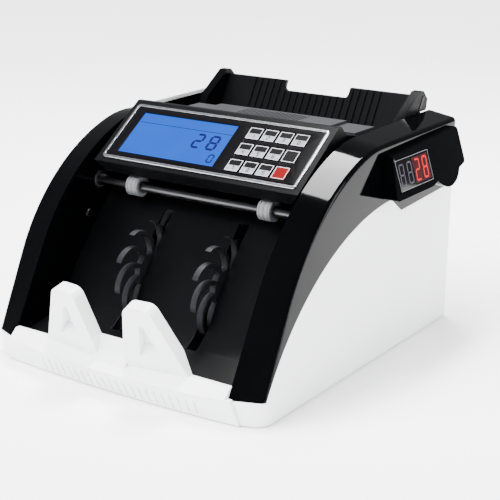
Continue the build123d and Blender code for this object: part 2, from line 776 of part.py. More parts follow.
with BuildSketch() as fin:
    root = stacker_hub_radius - 1
    with BuildLine():
        leading = ThreePointArc(polar(root, 0), polar(stacker_radius * 0.7, 14), polar(stacker_radius, 45))
        trailing = ThreePointArc(polar(stacker_radius, 49), polar(stacker_radius * 0.67, 22), polar(root, 14))
        Line(leading @ 1, trailing @ 0)
        Line(trailing @ 1, leading @ 0)
    make_face()
with BuildPart() as stacker_wheels:
    for flip in (1, -1):
        with BuildSketch(side(flip * stacker_spacing / 2 - stacker_width / 2)):
            with Locations(stacker_axis):
                Circle(stacker_hub_radius)
                with PolarLocations(0, stacker_fins):
                    add(fin.sketch)
                Circle(shaft_radius, mode=Mode.SUBTRACT)
        extrude(amount=stacker_width)
save(stacker_wheels.part, "stacker_wheels")

chute_front = [(120.0, 113.5), (93.0, 84.0), (72.0, 58.0), (60.0, 38.0), (47.0, 27.0), (panel_back_depth, 19.5)]
chute_back = [(panel_back_depth, 17.2), (48.0, 24.8), (62.0, 36.6), (74.0, 56.6), (95.0, 82.6), (122.8, 113.5)]
with BuildPart() as stacker_chute:
    add(prism(chute_front + chute_back, -channel_half, channel_half))
    for flip in (1, -1):
        middle = flip * stacker_spacing / 2
        half = stacker_width / 2 + stacker_slot_gap
        add(block((middle - half, middle + half),
                  (stacker_axis[0] - stacker_radius - 3, stacker_axis[0] + stacker_radius), (15.0, 104.0)),
            mode=Mode.SUBTRACT)
save(stacker_chute.part, "stacker_chute")

# ================================================================== frame
with BuildPart() as frame_plate:
    rear_edge = body_depth - 14
    add(prism([(26.0, base_top), (34.0, 34.0), (58.0, 92.0), (96.0, 136.0), (140.0, 156.0), (rear_edge, 158.0),
               (rear_edge, base_top)], frame_x, frame_x + frame_thickness))
    for axis in shaft_axes:
        add(bar_along_x(axis, bush_radius, frame_x - 1, frame_x + frame_thickness + 1), mode=Mode.SUBTRACT)
    for hole in ((head_pin, rod_radius), ((140.0, 74.0), rod_radius), (main_motor_axis, motor_shaft_radius + 4),
                 (stacker_motor_axis, motor_shaft_radius + 4), ((112.0, 84.0), 9.0), ((240.0, 40.0), 16.0)):
        add(bar_along_x(*hole, frame_x - 1, frame_x + frame_thickness + 1), mode=Mode.SUBTRACT)
save_pair(frame_plate.part, "frame_plate")

with BuildPart() as tie_rods:
    add(bar_along_x((140.0, 74.0), rod_radius, -frame_x - frame_thickness, frame_x + frame_thickness))
    add(bar_along_x((30.0, 12.0), rod_radius, -frame_x, frame_x))
    for flip in (1, -1):
        ends = sorted((flip * (head_half - 6), flip * (frame_x + frame_thickness)))
        add(bar_along_x(head_pin, rod_radius, *ends))
save(tie_rods.part, "tie_rods")

with BuildPart() as shaft_bearings:
    for axis in shaft_axes:
        for flip in (1, -1):
            ends = sorted((flip * (frame_x - 2), flip * (frame_x + bush_length - 2)))
            add(bar_along_x(axis, bush_radius, *ends, shaft_radius + shaft_clearance))
save(shaft_bearings.part, "shaft_bearings")

base_rear_depth = rear_wall_depth - touch
foot_depths = (foot_inset, body_depth - foot_inset)
foot_spots = [(x, depth) for x in (-foot_spread / 2, foot_spread / 2) for depth in foot_depths]
foot_spots.append((0, body_depth / 2))
with BuildPart() as base_pan:
    with BuildSketch(level(table_gap)):
        with BuildLine():
            corner = 22.0
            Polyline((-base_half_width, base_front_depth + corner), (-base_half_width + corner, base_front_depth),
                     (base_half_width - corner, base_front_depth), (base_half_width, base_front_depth + corner),
                     (base_half_width, base_rear_depth), (-base_half_width, base_rear_depth), close=True)
        make_face()
        with Locations(*foot_spots):
            Circle(foot_plug_radius, mode=Mode.SUBTRACT)
    extrude(amount=base_thickness)
save(base_pan.part, "base_pan")

with BuildPart() as rubber_feet:
    with BuildSketch(level(0)):
        with Locations(*foot_spots):
            Circle(foot_radius)
    extrude(amount=table_gap)
    with BuildSketch(level(table_gap)):
        with Locations(*foot_spots):
            Circle(foot_plug_radius)
    extrude(amount=base_thickness)
save(rubber_feet.part, "rubber_feet")


# ================================================================== motors and belts
def motor(axis, radius, length, x_mount, flip):
    """Motor can standing inward from its frame plate, with a boss at the plate end."""
    with BuildPart() as can:
        ends = sorted((x_mount, x_mount - flip * length))
        add(bar_along_x(axis, radius, *ends))
        fillet(can.edges().filter_by(GeomType.CIRCLE), 1.5)
        boss = sorted((x_mount - flip * length, x_mount - flip * (length + 4)))
        add(bar_along_x(axis, radius * 0.4, *boss))
        add(bar_along_x(axis, motor_shaft_radius + 0.5, x_mount - 6, x_mount + 6), mode=Mode.SUBTRACT)
    return can.part


def motor_rotor(axis, x_mount, flip, lane):
    """Motor shaft end with its pulley."""
    with BuildPart() as rotor:
        ends = sorted((x_mount - flip * 5, flip * (abs(lane) + belt_width)))
        add(bar_along_x(axis, motor_shaft_radius, *ends))
        add(bar_along_x(axis, motor_pulley_radius, lane - belt_width / 2, lane + belt_width / 2))
    return rotor.part


def belt(axis_a, radius_a, axis_b, radius_b, lane):
    """Open belt loop around two pulleys, a small gap off both."""
    def loop(extra):
        with BuildSketch() as outline:
            with Locations(axis_a):
                Circle(radius_a + extra)
            with Locations(axis_b):
                Circle(radius_b + extra)
            make_hull()
        return outline.sketch
    with BuildPart() as band:
        with BuildSketch(side(lane - belt_width / 2)):
            add(loop(belt_gap + belt_thickness))
            add(loop(belt_gap), mode=Mode.SUBTRACT)
        extrude(amount=belt_width)
    return band.part


save(motor(main_motor_axis, main_motor_radius, main_motor_length, -frame_x, -1), "main_motor")
save(motor(stacker_motor_axis, stacker_motor_radius, stacker_motor_length, frame_x, 1), "stacker_motor")
save(motor_rotor(main_motor_axis, -frame_x, -1, -belt_lane_inner), "main_motor_pulley")
save(motor_rotor(stacker_motor_axis, frame_x, 1, belt_lane_outer), "stacker_motor_pulley")

with BuildPart() as drive_belts:
    add(belt(main_motor_axis, motor_pulley_radius, feed_axis, feed_pulley_radius, -belt_lane_inner))
    add(belt(feed_axis, feed_pulley_radius, exit_axis, exit_pulley_radius, belt_lane_inner))
    add(belt(feed_axis, feed_pulley_radius, pickup_axis, pickup_pulley_radius, belt_lane_outer))
    add(belt(stacker_motor_axis, motor_pulley_radius, stacker_axis, stacker_pulley_radius, belt_lane_outer))
save(drive_belts.part, "drive_belts")

# ================================================================== electrics and rear
board_height = 10.0
with BuildPart() as main_board:
    add(block((-10.0, 92.0), (180.0, 258.0), (board_height, board_height + 1.6)))
    for x, depth, size_x, size_y, rise in ((18, 200, 16, 16, 2.4), (48, 205, 12, 18, 2.4), (74, 196, 14, 10, 9.0),
                                           (20, 235, 20, 8, 8.0), (50, 238, 10, 10, 14.0), (76, 234, 18, 12, 6.0)):
        add(block((x - size_x / 2, x + size_x / 2), (depth - size_y / 2, depth + size_y / 2),
                  (board_height + 1.6, board_height + 1.6 + rise)))
    with BuildSketch(level(base_top)):
        with Locations((41.0, 219.0)):
            with GridLocations(92, 68, 2, 2):
                Circle(3.0)
    extrude(amount=board_height - base_top)
save(main_board.part, "main_board")

with BuildPart() as power_supply:
    add(block((-96.0, -52.0), (232.0, 256.0), (base_top, 22.0)))
    add(block((-92.0, -56.0), (236.0, 252.0), (22.0, 44.0)))
    add(block((-100.0, -48.0), (230.0, 258.0), (base_top, base_top + 2.0)))
save(power_supply.part, "power_supply")

with BuildPart() as rear_cover:
    add(block((-channel_half, channel_half), (rear_wall_depth, body_depth), (table_gap, deck_height)))
    add(block((-channel_half, channel_half), (back_top[0] - 4, body_depth), (deck_height - wall, deck_height)))
    with BuildSketch(upright(body_depth + 1)):
        with Locations((inlet_x, rear_socket_height)):
            Rectangle(*inlet_size)
        with Locations((rocker_x, rear_socket_height)):
            Rectangle(rocker_size[0] + 2 * rocker_hole_margin, rocker_size[1] + 2 * rocker_hole_margin)
        with Locations((jack_x, rear_socket_height)):
            Circle(jack_radius)
        with Locations((0, knob_height)):
            Circle(knob_cup_radius)
        for flip in (1, -1):
            with Locations((flip * 48, 92.0)):
                with GridLocations(1, 6.5, 1, 8):
                    SlotOverall(44, 2.6)
    extrude(amount=wall + 2, mode=Mode.SUBTRACT)
    with BuildSketch(upright(body_depth)):
        with Locations((0, knob_height)):
            Circle(knob_cup_radius + 2)
            Circle(knob_cup_radius, mode=Mode.SUBTRACT)
        with Locations((rocker_x, rear_socket_height)):
            Rectangle(rocker_size[0] + 2 * rocker_hole_margin + 4, rocker_size[1] + 2 * rocker_hole_margin + 4)
            Rectangle(rocker_size[0] + 2 * rocker_hole_margin, rocker_size[1] + 2 * rocker_hole_margin,
                      mode=Mode.SUBTRACT)
    extrude(amount=knob_cup_depth)
    with BuildSketch(upright(body_depth - knob_cup_depth)):
        with Locations((0, knob_height)):
            Circle(knob_cup_radius + 2)
            Circle(knob_stem_radius + shaft_clearance, mode=Mode.SUBTRACT)
    extrude(amount=wall)
    with BuildSketch(upright(body_depth)):
        for x in (-channel_half + 8, channel_half - 8):
            for height in (12.0, 155.0):
                with Locations((x, height)):
                    Circle(3.6)
    extrude(amount=1.4, mode=Mode.SUBTRACT)
save(rear_cover.part, "rear_cover")

with BuildPart() as gap_knob:
    with BuildSketch(upright(body_depth - 0.5)):
        with Locations((0, knob_height)):
            Circle(knob_radius)
            with PolarLocations(knob_radius + 0.6, 12):
                Circle(1.2, mode=Mode.SUBTRACT)
    extrude(amount=knob_cup_depth - 1.0)
    with BuildSketch(upright(body_depth + 0.5 - knob_cup_depth)):
        with Locations((0, knob_height)):
            Circle(knob_stem_radius)
    extrude(amount=14.0)
save(gap_knob.part, "gap_knob")

with BuildPart() as power_inlet:
    add(block((inlet_x - inlet_size[0] / 2, inlet_x + inlet_size[0] / 2), (rear_wall_depth - 18, body_depth),
              (rear_socket_height - inlet_size[1] / 2, rear_socket_height + inlet_size[1] / 2)))
    with BuildSketch(upright(body_depth)):
        with Locations((inlet_x, rear_socket_height)):
            Rectangle(22.6, 14.6)
            with Locations((-6, 0), (0, 2.4), (6, 0)):
                Rectangle(2, 4.4, mode=Mode.SUBTRACT)
    extrude(amount=16.0, mode=Mode.SUBTRACT)
save(power_inlet.part, "power_inlet")

with BuildPart() as display_jack:
    with BuildSketch(upright(body_depth)):
        with Locations((jack_x, rear_socket_height)):
            Circle(jack_radius)
            Circle(jack_bore_radius, mode=Mode.SUBTRACT)
    extrude(amount=14.0)
save(display_jack.part, "display_jack")

with BuildPart() as power_rocker:
    half_height = rocker_size[1] / 2
    add(prism([(body_depth - 1.6, rear_socket_height), (body_depth + 0.2, rear_socket_height + half_height - 0.4),
               (body_depth - 6.5, rear_socket_height + half_height - 1.2), (body_depth - 9.0, rear_socket_height),
               (body_depth - 6.5, rear_socket_height - half_height + 1.2),
               (body_depth - 3.4, rear_socket_height - half_height + 0.4)],
              rocker_x - rocker_size[0] / 2, rocker_x + rocker_size[0] / 2))
save(power_rocker.part, "power_rocker")

with BuildPart() as case_screws:
    with BuildSketch(upright(body_depth - 0.2)):
        for x in (-channel_half + 8, channel_half - 8):
            for height in (12.0, 155.0):
                with Locations((x, height)):
                    Circle(3.4)
    extrude(amount=1.2)
    for flip in (1, -1):
        for spot in ((89.6, 96.4), (262.0, 140.0)):
            ends = sorted((flip * (channel_half - 1.2), flip * channel_half))
            add(bar_along_x(spot, 3.0, *ends))
save(case_screws.part, "case_screws")

# ================================================================== display pod
pod_tilt = degrees(atan2(pod_face_bottom - pod_face_top, pod_top_height - pod_chin_height))
pod_face = Plane(origin=(pod_face_bottom, front_y, pod_chin_height), x_dir=(0, 1, 0),
                 z_dir=(cos(radians(pod_tilt)), 0, sin(radians(pod_tilt))))
pod_face_reach = 30.0


def pod_block(inset, x_from):
    """Pod from the flank out to its tilted face."""
    with BuildPart() as solid:
        with BuildSketch(side(x_from)) as outline:
            with BuildLine():
                Polyline((216.0, pod_chin_height + 0.3), (pod_front_depth_low, pod_chin_height),
                         (pod_front_depth_top, pod_front_height), (pod_rear_depth, pod_top_height),
                         (pod_rear_depth, 135.0), (264.0, 132.5))
                ThreePointArc((264.0, 132.5), (242.0, pod_lobe_height), (224.5, 129.6))
                Line((224.5, 129.6), (216.0, pod_chin_height + 0.3))
            make_face()
            rear_corners = outline.vertices().sort_by(Axis.X)[-2:]
            fillet(rear_corners, 4.0)
            front_corners = outline.vertices().sort_by(Axis.X)[:2]
            fillet(front_corners, 1.5)
            if inset:
                offset(amount=-inset, mode=Mode.REPLACE)
        extrude(amount=pod_face_reach)
        split(bisect_by=pod_face.offset(-inset), keep=Keep.BOTTOM)
    return solid.part


window_bottom = (pod_window_heights[0] - pod_chin_height) / cos(radians(pod_tilt))
window_top = (pod_window_heights[1] - pod_chin_height) / cos(radians(pod_tilt))
window_middle = ((pod_window_depths[0] + pod_window_depths[1]) / 2, (window_bottom + window_top) / 2)
window_size = (pod_window_depths[1] - pod_window_depths[0], window_top - window_bottom)
with BuildPart() as display_pod:
    add(pod_block(0, body_half - 3))
    add(outer_flank, mode=Mode.SUBTRACT)
    add(outer_toe, mode=Mode.SUBTRACT)
    add(pod_block(pod_wall, body_half + 0.6), mode=Mode.SUBTRACT)
    with BuildSketch(pod_face):
        with Locations(window_middle):
            RectangleRounded(*window_size, 1.5)
    extrude(amount=-pod_window_thickness, mode=Mode.SUBTRACT)
save(display_pod.part, "display_pod")

with BuildPart() as pod_window:
    with BuildSketch(pod_face.offset(-pod_window_thickness)):
        with Locations(window_middle):
            RectangleRounded(window_size[0] - 0.2, window_size[1] - 0.2, 1.4)
    extrude(amount=pod_window_thickness - 0.1)
save(pod_window.part, "pod_window")
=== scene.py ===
"""Looks of a desktop banknote counting machine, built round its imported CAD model, in metres."""

import json
from math import atan2, cos, radians, sin

import bpy
from mathutils import Matrix, Vector


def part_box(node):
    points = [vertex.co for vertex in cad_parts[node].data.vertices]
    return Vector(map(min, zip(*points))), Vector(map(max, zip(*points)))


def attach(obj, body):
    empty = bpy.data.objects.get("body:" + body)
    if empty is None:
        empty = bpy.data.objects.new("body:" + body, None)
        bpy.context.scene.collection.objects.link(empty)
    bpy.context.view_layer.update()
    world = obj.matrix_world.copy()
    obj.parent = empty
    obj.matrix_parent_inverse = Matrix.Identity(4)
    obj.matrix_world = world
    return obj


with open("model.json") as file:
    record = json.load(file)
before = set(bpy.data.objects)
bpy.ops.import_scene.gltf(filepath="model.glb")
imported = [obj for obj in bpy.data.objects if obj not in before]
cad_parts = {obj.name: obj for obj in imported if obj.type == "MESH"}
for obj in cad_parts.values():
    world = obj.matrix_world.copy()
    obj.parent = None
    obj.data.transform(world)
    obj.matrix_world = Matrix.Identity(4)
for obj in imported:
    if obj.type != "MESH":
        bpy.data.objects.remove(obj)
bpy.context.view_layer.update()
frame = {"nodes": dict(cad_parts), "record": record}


nodes = frame["nodes"]

# ------------------------------------------------------------------ camera
AZIMUTH, ELEVATION, ROLL = radians(34.13), radians(17.16), radians(0.555)
CAMERA_AT = Vector((0.5346, -0.75875, 0.35718))
FOCAL_PIXELS, IMAGE_PIXELS, SENSOR = 1241.75, 500, 36.0

back = Vector((sin(AZIMUTH) * cos(ELEVATION), -cos(AZIMUTH) * cos(ELEVATION), sin(ELEVATION)))
right = (-back).cross(Vector((0, 0, 1))).normalized()
up = back.cross(right)
turned_right = right * cos(ROLL) + up * sin(ROLL)
turned_up = up * cos(ROLL) - right * sin(ROLL)
camera = bpy.data.objects.new("camera", bpy.data.cameras.new("camera"))
bpy.context.scene.collection.objects.link(camera)
camera.matrix_world = Matrix((
    (turned_right.x, turned_up.x, back.x, CAMERA_AT.x),
    (turned_right.y, turned_up.y, back.y, CAMERA_AT.y),
    (turned_right.z, turned_up.z, back.z, CAMERA_AT.z),
    (0, 0, 0, 1)))
camera.data.sensor_width = SENSOR
camera.data.lens = FOCAL_PIXELS / IMAGE_PIXELS * SENSOR
camera.data.clip_start = 0.02
bpy.context.scene.camera = camera


# ------------------------------------------------------------------ node helpers
class Shader:
    """A node material under construction, with short ways to add the usual detail."""

    def __init__(self, name, **sockets):
        self.name = name
        self.material = bpy.data.materials.new(name)
        self.material.use_nodes = True
        self.tree = self.material.node_tree
        self.principled = self.tree.nodes["Principled BSDF"]
        for socket, value in sockets.items():
            self.principled.inputs[socket.replace("_", " ")].default_value = value
        coordinates = self.tree.nodes.new("ShaderNodeTexCoord")
        self.place = coordinates.outputs["Object"]

    def link(self, output, target):
        self.tree.links.new(output, target)

    def scaled(self, x=1.0, y=1.0, z=1.0, turn=(0, 0, 0)):
        """Object coordinates stretched along the axes."""
        mapping = self.tree.nodes.new("ShaderNodeMapping")
        mapping.inputs["Scale"].default_value = (x, y, z)
        mapping.inputs["Rotation"].default_value = turn
        self.link(self.place, mapping.inputs["Vector"])
        return mapping.outputs["Vector"]

    def noise(self, scale, detail=3.0, roughness=0.5, vector=None):
        """Noise from 0 to 1, scale in cycles per metre."""
        node = self.tree.nodes.new("ShaderNodeTexNoise")
        node.inputs["Scale"].default_value = scale
        node.inputs["Detail"].default_value = detail
        node.inputs["Roughness"].default_value = roughness
        self.link(vector or self.place, node.inputs["Vector"])
        return node.outputs["Fac"]

    def cells(self, scale, vector=None):
        """Distance to the nearest cell centre, for grained mouldings."""
        node = self.tree.nodes.new("ShaderNodeTexVoronoi")
        node.inputs["Scale"].default_value = scale
        self.link(vector or self.place, node.inputs["Vector"])
        return node.outputs["Distance"]

    def ramp(self, value, stops):
        """Colours from positions in [(position, colour), ...]."""
        node = self.tree.nodes.new("ShaderNodeValToRGB")
        elements = node.color_ramp.elements
        for index, (position, colour) in enumerate(stops):
            element = elements[index] if index < 2 else elements.new(position)
            element.position = position
            element.color = (*colour, 1.0)
        self.link(value, node.inputs["Fac"])
        return node.outputs["Color"]

    def between(self, value, low, high):
        """A value from 0 to 1 spread over low to high."""
        node = self.tree.nodes.new("ShaderNodeMapRange")
        node.inputs["To Min"].default_value = low
        node.inputs["To Max"].default_value = high
        self.link(value, node.inputs["Value"])
        return node.outputs["Result"]

    def mixed(self, factor, first, second):
        """Colour mix of two colours or links."""
        node = self.tree.nodes.new("ShaderNodeMix")
        node.data_type = "RGBA"
        for value, socket in ((factor, 0), (first, 6), (second, 7)):
            if isinstance(value, tuple):
                node.inputs[socket].default_value = (*value, 1.0)
            elif isinstance(value, float):
                node.inputs[socket].default_value = value
            else:
                self.link(value, node.inputs[socket])
        return node.outputs[2]

    def colour(self, output):
        self.link(output, self.principled.inputs["Base Color"])
        return self

    def rough(self, output):
        self.link(output, self.principled.inputs["Roughness"])
        return self

    def bump(self, *layers):
        """Stacked bumps, each (height, depth in metres)."""
        previous = None
        for height, depth in layers:
            node = self.tree.nodes.new("ShaderNodeBump")
            node.inputs["Strength"].default_value = 1.0
            node.inputs["Distance"].default_value = depth
            self.link(height, node.inputs["Height"])
            if previous:
                self.link(previous, node.inputs["Normal"])
            previous = node.outputs["Normal"]
        self.link(previous, self.principled.inputs["Normal"])
        return self


def moulded(name, dark, light, rough_low, rough_high, grain_scale, grain_depth, **sockets):
    """Moulded plastic: faint colour drift, uneven gloss and a fine grain."""
    shader = Shader(name, **sockets)
    drift = shader.noise(9.0, 4.0, 0.6)
    shader.colour(shader.ramp(drift, [(0.3, dark), (0.7, light)]))
    shader.rough(shader.between(shader.noise(38.0, 5.0, 0.65), rough_low, rough_high))
    shader.bump((shader.noise(14.0, 2.0), 0.00008), (shader.noise(grain_scale, 2.0, 0.7), grain_depth))
    return shader


# ------------------------------------------------------------------ materials
materials = {}


def keep(shader):
    """Store a finished material under its name."""
    materials[shader.name] = shader.material
    return shader


keep(moulded("gloss_black", (0.0003, 0.0004, 0.0005), (0.0008, 0.0009, 0.0011), 0.035, 0.08, 2600, 0.000002,
             Specular_IOR_Level=0.08))
keep(moulded("white_shell", (0.76, 0.77, 0.785), (0.82, 0.83, 0.845), 0.30, 0.42, 3200, 0.000006,
             Specular_IOR_Level=0.4))
keep(moulded("housing_black", (0.0009, 0.0010, 0.0012), (0.0020, 0.0021, 0.0024), 0.30, 0.44, 5200, 0.00001,
             Specular_IOR_Level=0.12))
keep(moulded("overlay_black", (0.0010, 0.0008, 0.0012), (0.0018, 0.0016, 0.0020), 0.26, 0.36, 7000, 0.000004,
             Specular_IOR_Level=0.08))
keep(moulded("deck_grey", (0.015, 0.0155, 0.017), (0.025, 0.026, 0.028), 0.34, 0.48, 6000, 0.00001,
             Specular_IOR_Level=0.35))
keep(moulded("guide_black", (0.0006, 0.0006, 0.0008), (0.0012, 0.0013, 0.0015), 0.24, 0.36, 5200, 0.000012,
             Specular_IOR_Level=0.04))
keep(moulded("bearing_grey", (0.010, 0.010, 0.011), (0.018, 0.018, 0.02), 0.45, 0.6, 4000, 0.00001))
keep(moulded("wheel_plastic", (0.006, 0.006, 0.007), (0.011, 0.011, 0.013), 0.45, 0.6, 4500, 0.00002,
             Specular_IOR_Level=0.3))
keep(moulded("rocker_black", (0.004, 0.004, 0.0045), (0.007, 0.007, 0.008), 0.15, 0.25, 3000, 0.000003))
keep(moulded("pod_glass", (0.0012, 0.0004, 0.0006), (0.0024, 0.0007, 0.001), 0.05, 0.11, 900, 0.000001,
             Specular_IOR_Level=0.3))
keep(moulded("key_black", (0.0010, 0.0010, 0.0012), (0.0018, 0.0018, 0.0022), 0.38, 0.5, 6500, 0.000005,
             Specular_IOR_Level=0.08))
keep(moulded("key_red", (0.075, 0.0006, 0.0006), (0.11, 0.001, 0.001), 0.36, 0.5, 6500, 0.000005,
             Specular_IOR_Level=0.06))
keep(moulded("roller_grey", (0.10, 0.105, 0.11), (0.15, 0.155, 0.16), 0.45, 0.6, 4200, 0.00003))

silver = keep(Shader("bezel_silver", Metallic=1.0))
silver_streaks = silver.noise(420, 3, 0.6, silver.scaled(1, 14, 14))
silver.colour(silver.ramp(silver_streaks, [(0.3, (0.50, 0.51, 0.53)), (0.75, (0.80, 0.81, 0.83))]))
silver.rough(silver.between(silver.noise(900, 2, 0.5, silver.scaled(0.2, 3, 3)), 0.16, 0.34))
silver.bump((silver.noise(2400, 2, 0.6, silver.scaled(0.1, 2, 2)), 0.00001))


def metal(name, dark, light, low, high, along=1.0, across=8.0):
    """Brushed or plated metal, with streaks stretched along the x axis."""
    shader = keep(Shader(name, Metallic=1.0))
    brushed = shader.noise(600, 3, 0.6, shader.scaled(along, across, across))
    shader.colour(shader.ramp(brushed, [(0.3, dark), (0.7, light)]))
    shader.rough(shader.between(shader.noise(90, 4, 0.6), low, high))
    shader.bump((brushed, 0.00002))


# the steel shafts get a very dark base colour: painted shade, standing in for the shadow that falls over the
# shafts
metal("steel", (0.075, 0.075, 0.08), (0.13, 0.13, 0.135), 0.25, 0.4, 0.3, 6.0)
metal("motor_metal", (0.30, 0.31, 0.32), (0.44, 0.45, 0.46), 0.30, 0.46)
metal("frame_metal", (0.34, 0.35, 0.35), (0.48, 0.49, 0.49), 0.32, 0.5)


def rubbery(name, dark, light):
    """Matte rubber with a cellular grain."""
    shader = keep(Shader(name, Sheen_Weight=0.2))
    shader.colour(shader.ramp(shader.noise(60, 4, 0.6), [(0.3, dark), (0.7, light)]))
    shader.rough(shader.between(shader.noise(200, 3, 0.6), 0.55, 0.8))
    shader.bump((shader.cells(3200), 0.00003), (shader.noise(900, 3, 0.7), 0.00003))


rubbery("rubber", (0.010, 0.010, 0.010), (0.022, 0.022, 0.022))
rubbery("roller_rubber", (0.05, 0.05, 0.055), (0.09, 0.09, 0.095))

board = keep(Shader("circuit_green", Coat_Weight=0.4))
tracks = board.cells(420, board.scaled(1, 1, 0.1))
board.colour(board.ramp(tracks, [(0.10, (0.10, 0.28, 0.12)), (0.22, (0.015, 0.10, 0.035))]))
board.rough(board.between(board.noise(300), 0.25, 0.45))
board.bump((tracks, 0.00004))



# a lit piece has an almost black body, so that the lamps do not wash its colour out
UNLIT_SHARE, UNLIT_BODY = 0.985, (0.002, 0.002, 0.003)


def glowing(name, dark, light, strength, low=0.3, high=0.45, scale=220):
    """A lit or printed colour with a slight unevenness."""
    shader = keep(Shader(name, Specular_IOR_Level=0.05))
    tint = shader.ramp(shader.noise(scale, 2, 0.5), [(0.3, dark), (0.7, light)])
    if strength:
        shader.link(tint, shader.principled.inputs["Emission Color"])
        shader.principled.inputs["Emission Strength"].default_value = strength
        shader.colour(shader.mixed(UNLIT_SHARE, tint, UNLIT_BODY))
    else:
        shader.colour(tint)
    shader.rough(shader.between(shader.noise(400), low, high))
    shader.bump((shader.noise(3000, 1), 0.000001))
    return shader


glowing("lcd_glass", (0.002, 0.125, 0.86), (0.004, 0.155, 0.98), 1.15, 0.3, 0.45, 16)
glowing("lcd_ink", (0.006, 0.004, 0.20), (0.010, 0.006, 0.28), 0.6)
glowing("lcd_edge", (0.10, 0.36, 0.80), (0.14, 0.44, 0.90), 0.7)
glowing("led_on", (0.95, 0.004, 0.012), (1.0, 0.012, 0.02), 1.9)
glowing("led_halo", (0.07, 0.001, 0.004), (0.16, 0.002, 0.008), 0.8)
glowing("led_off", (0.030, 0.030, 0.040), (0.045, 0.045, 0.06), 0.0)
glowing("print_white", (0.34, 0.34, 0.36), (0.44, 0.44, 0.46), 0.0)
glowing("print_grey", (0.15, 0.155, 0.17), (0.20, 0.205, 0.22), 0.0)
glowing("print_dark", (0.006, 0.007, 0.016), (0.01, 0.011, 0.022), 0.0)

node_material = {item["node"]: item["material_slot"] for item in frame["record"]["subparts"]}

BEVELLED = {
    "arch_trim_left": 0.0007, "arch_trim_right": 0.0007, "display_pod": 0.0007,
    "side_cover_left": 0.0008, "side_cover_right": 0.0008, "control_housing": 0.0008,
    "hopper_guide_left": 0.0008, "hopper_guide_right": 0.0008, "front_panel": 0.0009,
    "rear_cover": 0.0006, "hopper_deck": 0.0005, "hopper_back_plate": 0.0004, "power_inlet": 0.0004,
    "power_rocker": 0.0004, "gap_knob": 0.0004, "power_supply": 0.0004, "control_bezel": 0.0003,
    "stacker_wheels": 0.0003, "main_motor": 0.0003, "exit_comb": 0.0002,
}

for name, obj in nodes.items():
    obj.data.materials.clear()
    obj.data.materials.append(materials[node_material[name]])
    weld = obj.modifiers.new("weld", "WELD")
    weld.merge_threshold = 0.000002
    if name in BEVELLED:
        bevel = obj.modifiers.new("edge", "BEVEL")
        bevel.width = BEVELLED[name]
        bevel.segments = 2
        bevel.limit_method = "ANGLE"
        bevel.angle_limit = radians(32)
        bevel.harden_normals = True
    obj.data.shade_smooth()
    smooth = obj.modifiers.new("smooth", "WEIGHTED_NORMAL")
    smooth.keep_sharp = True


# ------------------------------------------------------------------ printed and lit details
SEGMENTS = {"0": "abcdef", "1": "bc", "2": "abged", "3": "abgcd", "4": "fgbc", "5": "afgcd", "6": "afgedc",
            "7": "abc", "8": "abcdefg", "9": "abcdfg"}


MILLIMETRE = 0.001
LEGEND_LIFT, FIGURE_LIFT, READOUT_LIFT = 0.00004, 0.00006, 0.00012


class Sheet:
    """Flat printed shapes in one plane, gathered into one mesh for each material."""

    def __init__(self, origin, across, along, lift):
        self.origin, self.across, self.along = Vector(origin), Vector(across), Vector(along)
        self.normal = self.across.cross(self.along)
        self.origin += self.normal * lift
        self.shapes = {}

    def shape(self, material, corners, rise=0.0):
        """One flat polygon from corners (across, along) in millimetres."""
        self.shapes.setdefault(material, []).append([
            self.origin + (self.across * a + self.along * b + self.normal * rise) * MILLIMETRE
            for a, b in corners])

    def panel(self, material, left, bottom, width, height, rise=0.0):
        """Filled rectangle."""
        self.shape(material, [(left, bottom), (left + width, bottom), (left + width, bottom + height),
                              (left, bottom + height)], rise)

    def outline(self, material, left, bottom, width, height, line, rise=0.0):
        """Rectangular frame of four bars."""
        self.panel(material, left, bottom, width, line, rise)
        self.panel(material, left, bottom + height - line, width, line, rise)
        self.panel(material, left, bottom + line, line, height - 2 * line, rise)
        self.panel(material, left + width - line, bottom + line, line, height - 2 * line, rise)

    def digit(self, material, text, left, bottom, width, height, stroke, rise=0.0, lean=0.0):
        """Seven-segment digit with pointed bars."""
        half, gap = stroke / 2, stroke * 0.08
        middle = height / 2
        ends = {"a": ((half, height - half), (width - half, height - half)),
                "g": ((half, middle), (width - half, middle)), "d": ((half, half), (width - half, half)),
                "f": ((half, middle), (half, height - half)), "e": ((half, half), (half, middle)),
                "b": ((width - half, middle), (width - half, height - half)),
                "c": ((width - half, half), (width - half, middle))}
        for name in SEGMENTS[text]:
            (a0, b0), (a1, b1) = ends[name]
            if b0 == b1:
                a0, a1 = a0 + gap, a1 - gap
                corners = [(a0, b0), (a0 + half, b0 - half), (a1 - half, b0 - half),
                           (a1, b0), (a1 - half, b0 + half), (a0 + half, b0 + half)]
            else:
                b0, b1 = b0 + gap, b1 - gap
                corners = [(a0, b0), (a0 + half, b0 + half), (a0 + half, b1 - half),
                           (a0, b1), (a0 - half, b1 - half), (a0 - half, b0 + half)]
            self.shape(material, [(left + a + lean * b, bottom + b) for a, b in corners], rise)

    def build(self, name, body):
        """Make the pieces and let them move with a body."""
        for material, polygons in self.shapes.items():
            points, faces = [], []
            for polygon in polygons:
                faces.append(range(len(points), len(points) + len(polygon)))
                points.extend(polygon)
            mesh = bpy.data.meshes.new(f"{name}_{material}")
            mesh.from_pydata(points, [], [list(face) for face in faces])
            mesh.materials.append(materials[material])
            piece = bpy.data.objects.new(f"{name}_{material}", mesh)
            bpy.context.scene.collection.objects.link(piece)
            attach(piece, body)


def middle_of(name):
    """Centre of a CAD node's box."""
    low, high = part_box(name)
    return (Vector(low) + Vector(high)) / 2


# sloping control panel: the tilt comes from the row of keys going up the slope
climb = middle_of("key_1") - middle_of("key_7")
slope = atan2(climb.z, climb.y)
UP_SLOPE = Vector((0, cos(slope), sin(slope)))


